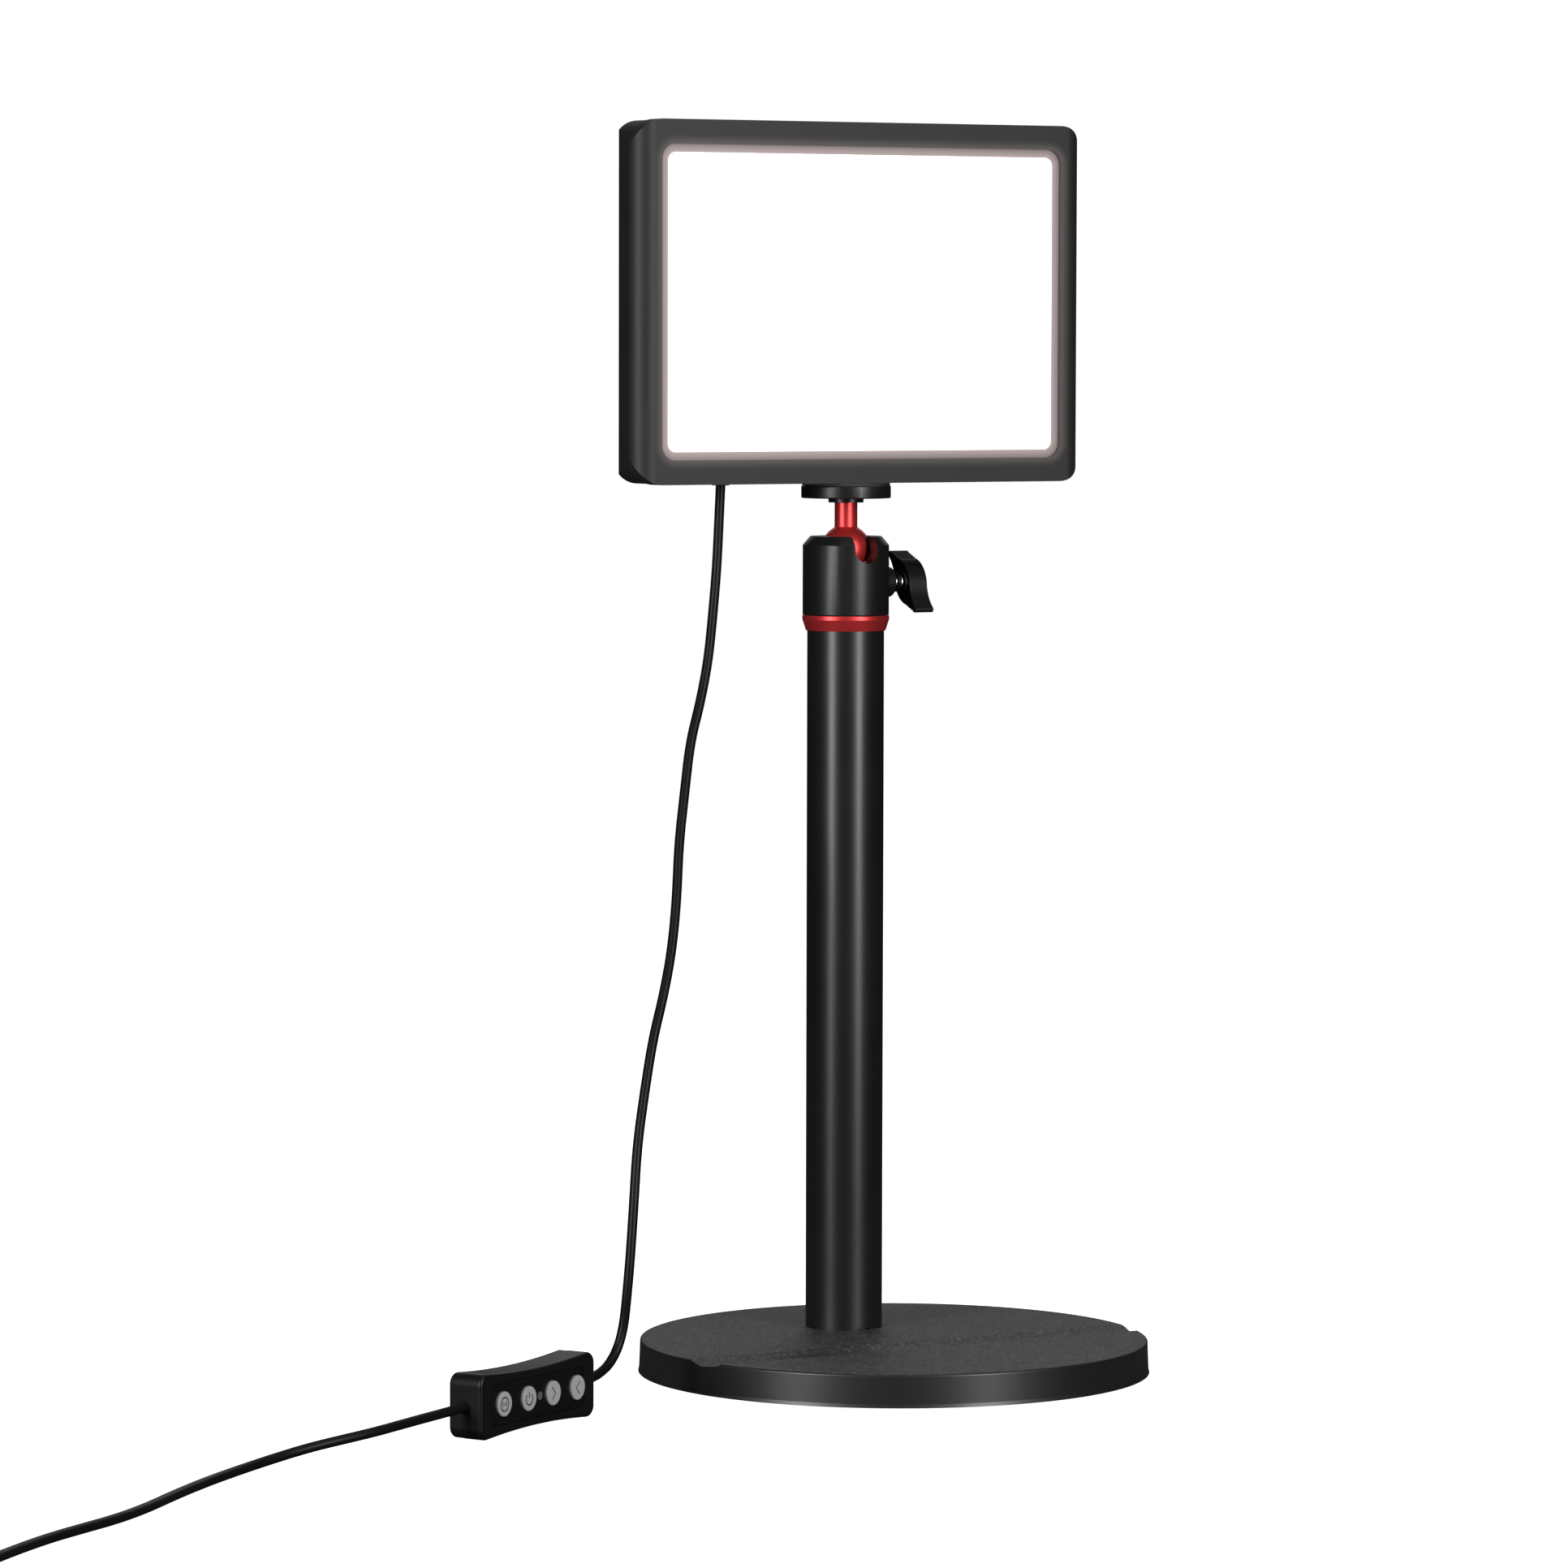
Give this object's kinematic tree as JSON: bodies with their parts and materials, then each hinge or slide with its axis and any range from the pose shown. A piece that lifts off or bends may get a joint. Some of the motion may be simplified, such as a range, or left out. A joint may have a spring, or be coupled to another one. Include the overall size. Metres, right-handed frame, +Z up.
{
  "type": "led panel light",
  "caption": "Tabletop LED panel light on a round weighted base with a pole, a clamped ball head and a cord with an in-line button controller.",
  "frame": {"origin": "middle of the base's underside, on the table", "axes": "+Z up along the pole, -Y out of the lamp's front, +X to the right of someone facing the way the pole's offset points"},
  "size_m": [0.6528, 0.3322, 0.4504],
  "materials": {
    "base_shell": "moulded black, fine sparkle texture on top, satin side",
    "zinc_steel": "zinc-plated plate",
    "rubber_black": "matte black foam rubber",
    "steel_bright": "nickel-plated steel",
    "pole_black": "satin black powder coat",
    "anodised_red": "bright red anodised, turned",
    "anodised_black": "satin black anodised, turned",
    "nylon_white": "natural white nylon",
    "brass": "turned brass",
    "knob_black": "moulded black nylon",
    "panel_black": "fine spark-eroded black ABS",
    "diffuser_white": "opal acrylic, lit from behind",
    "board_white": "white solder mask",
    "emitter_yellow": "phosphor over the dies",
    "bare_aluminium": "bare sheet",
    "board_green": "green solder mask",
    "chip_black": "epoxy packages",
    "cord_black": "matte black PVC",
    "controller_black": "satin black ABS",
    "controller_plate": "smooth black face plate",
    "button_grey": "silver-grey caps with dark printed signs",
    "lens_clear": "clear light pipe",
    "plug_steel": "plated stamped steel",
    "tongue_white": "white contact carrier"
  },
  "bodies": {
    "stand": {"base_cover": "base_shell", "base_weight": "zinc_steel", "base_pad": "rubber_black", "base_screws": "steel_bright", "pole_tube": "pole_black", "pole_foot_plug": "pole_black", "pole_bolt": "steel_bright", "pole_washer": "steel_bright", "pole_top_plug": "pole_black", "head_stud": "steel_bright", "red_collar": "anodised_red", "head_housing": "anodised_black", "ball_cup": "nylon_white", "upper_cord": "cord_black", "controller_front_shell": "controller_black", "controller_back_shell": "controller_black", "controller_face_plate": "controller_plate", "indicator_lens": "lens_clear", "controller_board": "board_green", "tact_switches": "chip_black", "controller_screws": "steel_bright", "controller_grommets": "cord_black", "lower_cord": "cord_black", "cord_coil": "cord_black", "coil_tie": "cord_black", "cord_tail": "cord_black", "usb_plug_body": "cord_black", "usb_plug_shell": "plug_steel", "usb_plug_tongue": "tongue_white"},
    "clamp_pad_slider": {"clamp_pad": "brass"},
    "knob": {"clamp_screw": "steel_bright", "wing_knob": "knob_black", "knob_washer": "knob_black"},
    "ball": {"ball_stem": "anodised_red"},
    "panel": {"platform_disc": "anodised_black", "platform_pad": "rubber_black", "camera_stud": "steel_bright", "front_bezel": "panel_black", "diffuser": "diffuser_white", "reflector_frame": "nylon_white", "led_board": "board_white", "led_emitters": "emitter_yellow", "heat_spreader": "bare_aluminium", "driver_board": "board_green", "driver_chips": "chip_black", "rear_cover": "panel_black", "panel_screws": "steel_bright", "tripod_bush": "brass", "cord_gland": "cord_black", "upper_cord_top": "cord_black"},
    "button_mode": {"button_mode": "button_grey"},
    "button_power": {"button_power": "button_grey"},
    "button_down": {"button_down": "button_grey"},
    "button_up": {"button_up": "button_grey"}
  },
  "joints": [
    {"name": "ball_tilt", "type": "hinge", "parent": "stand", "child": "ball", "pos_m": [0, 0.0355, 0.2962], "axis": [1, 0, 0], "range_deg": [-30, 90], "deforming": ["upper_cord_top", "upper_cord"]},
    {"name": "panel_spin", "type": "hinge", "parent": "ball", "child": "panel", "pos_m": [0, 0.0355, 0.2962], "axis": [0, 0, 1], "range_deg": [-90, 90], "deforming": ["upper_cord_top"]},
    {"name": "clamp_slide", "type": "slide", "parent": "stand", "child": "clamp_pad_slider", "axis": [1, 0, 0], "range_m": [0, 0.0008]},
    {"name": "knob_turn", "type": "hinge", "parent": "clamp_pad_slider", "child": "knob", "pos_m": [0, 0.0355, 0.28405], "axis": [1, 0, 0], "range_deg": [0, 360]},
    {"name": "button_mode_press", "type": "slide", "parent": "stand", "child": "button_mode", "axis": [-0.4695, 0.8829, 0], "range_m": [0, 0.0006], "stiffness_N_per_m": 800},
    {"name": "button_power_press", "type": "slide", "parent": "stand", "child": "button_power", "axis": [-0.4695, 0.8829, 0], "range_m": [0, 0.0006], "stiffness_N_per_m": 800},
    {"name": "button_down_press", "type": "slide", "parent": "stand", "child": "button_down", "axis": [-0.4695, 0.8829, 0], "range_m": [0, 0.0006], "stiffness_N_per_m": 800},
    {"name": "button_up_press", "type": "slide", "parent": "stand", "child": "button_up", "axis": [-0.4695, 0.8829, 0], "range_m": [0, 0.0006], "stiffness_N_per_m": 800}
  ],
  "couplings": [
    {"joint": "knob_turn", "follows": "clamp_slide", "rad_per_m": 7854}
  ]
}
